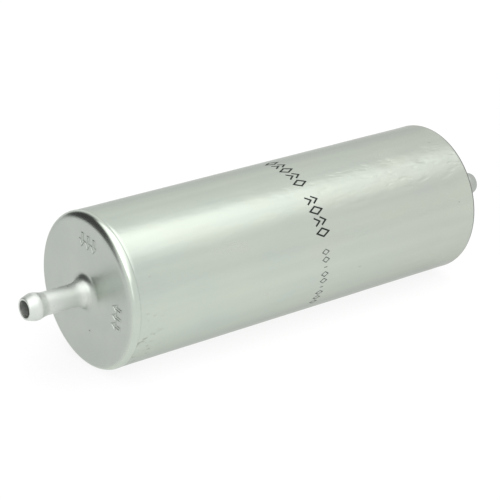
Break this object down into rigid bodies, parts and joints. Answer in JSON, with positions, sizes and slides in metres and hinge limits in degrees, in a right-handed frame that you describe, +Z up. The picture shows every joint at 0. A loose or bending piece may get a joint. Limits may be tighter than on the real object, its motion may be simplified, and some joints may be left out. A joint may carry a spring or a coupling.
{
  "type": "fuel filter",
  "caption": "In-line metal fuel filter: long round aluminium can with a barbed hose spigot at each end and a sprung pleated paper element inside.",
  "frame": {"origin": "on the can's axis, midway between the two spigot tips", "axes": "+X along the can from the closed inlet end to the rolled outlet end, +Z up with the filter lying on its side"},
  "size_m": [0.202, 0.0548, 0.0548],
  "materials": {
    "can_aluminium": "satin",
    "cover_aluminium": "satin",
    "plated_steel": "satin",
    "spring_steel": "satin",
    "seal_rubber": "matte",
    "end_potting": "matte",
    "filter_paper": "matte",
    "nylon": "matte",
    "gauze": "matte",
    "print_ink": "matte"
  },
  "bodies": {
    "housing": {"housing_can": "can_aluminium", "end_cover": "cover_aluminium", "cover_seal": "seal_rubber", "support_plate": "plated_steel", "strainer_frame": "nylon", "strainer_gauze": "gauze", "preload_spring": "spring_steel"},
    "element": {"spring_seat": "plated_steel", "closed_end_disc": "plated_steel", "closed_end_potting": "end_potting", "filter_paper": "filter_paper", "pleat_clip": "plated_steel", "centre_tube": "plated_steel", "open_end_potting": "end_potting", "open_end_disc": "plated_steel", "outlet_seal": "seal_rubber"}
  },
  "joints": [
    {"name": "element_float", "type": "slide", "parent": "housing", "child": "element", "axis": [-1, 0, 0], "range_m": [0, 0.0015], "stiffness_N_per_m": 2000, "deforming": ["preload_spring"]}
  ]
}
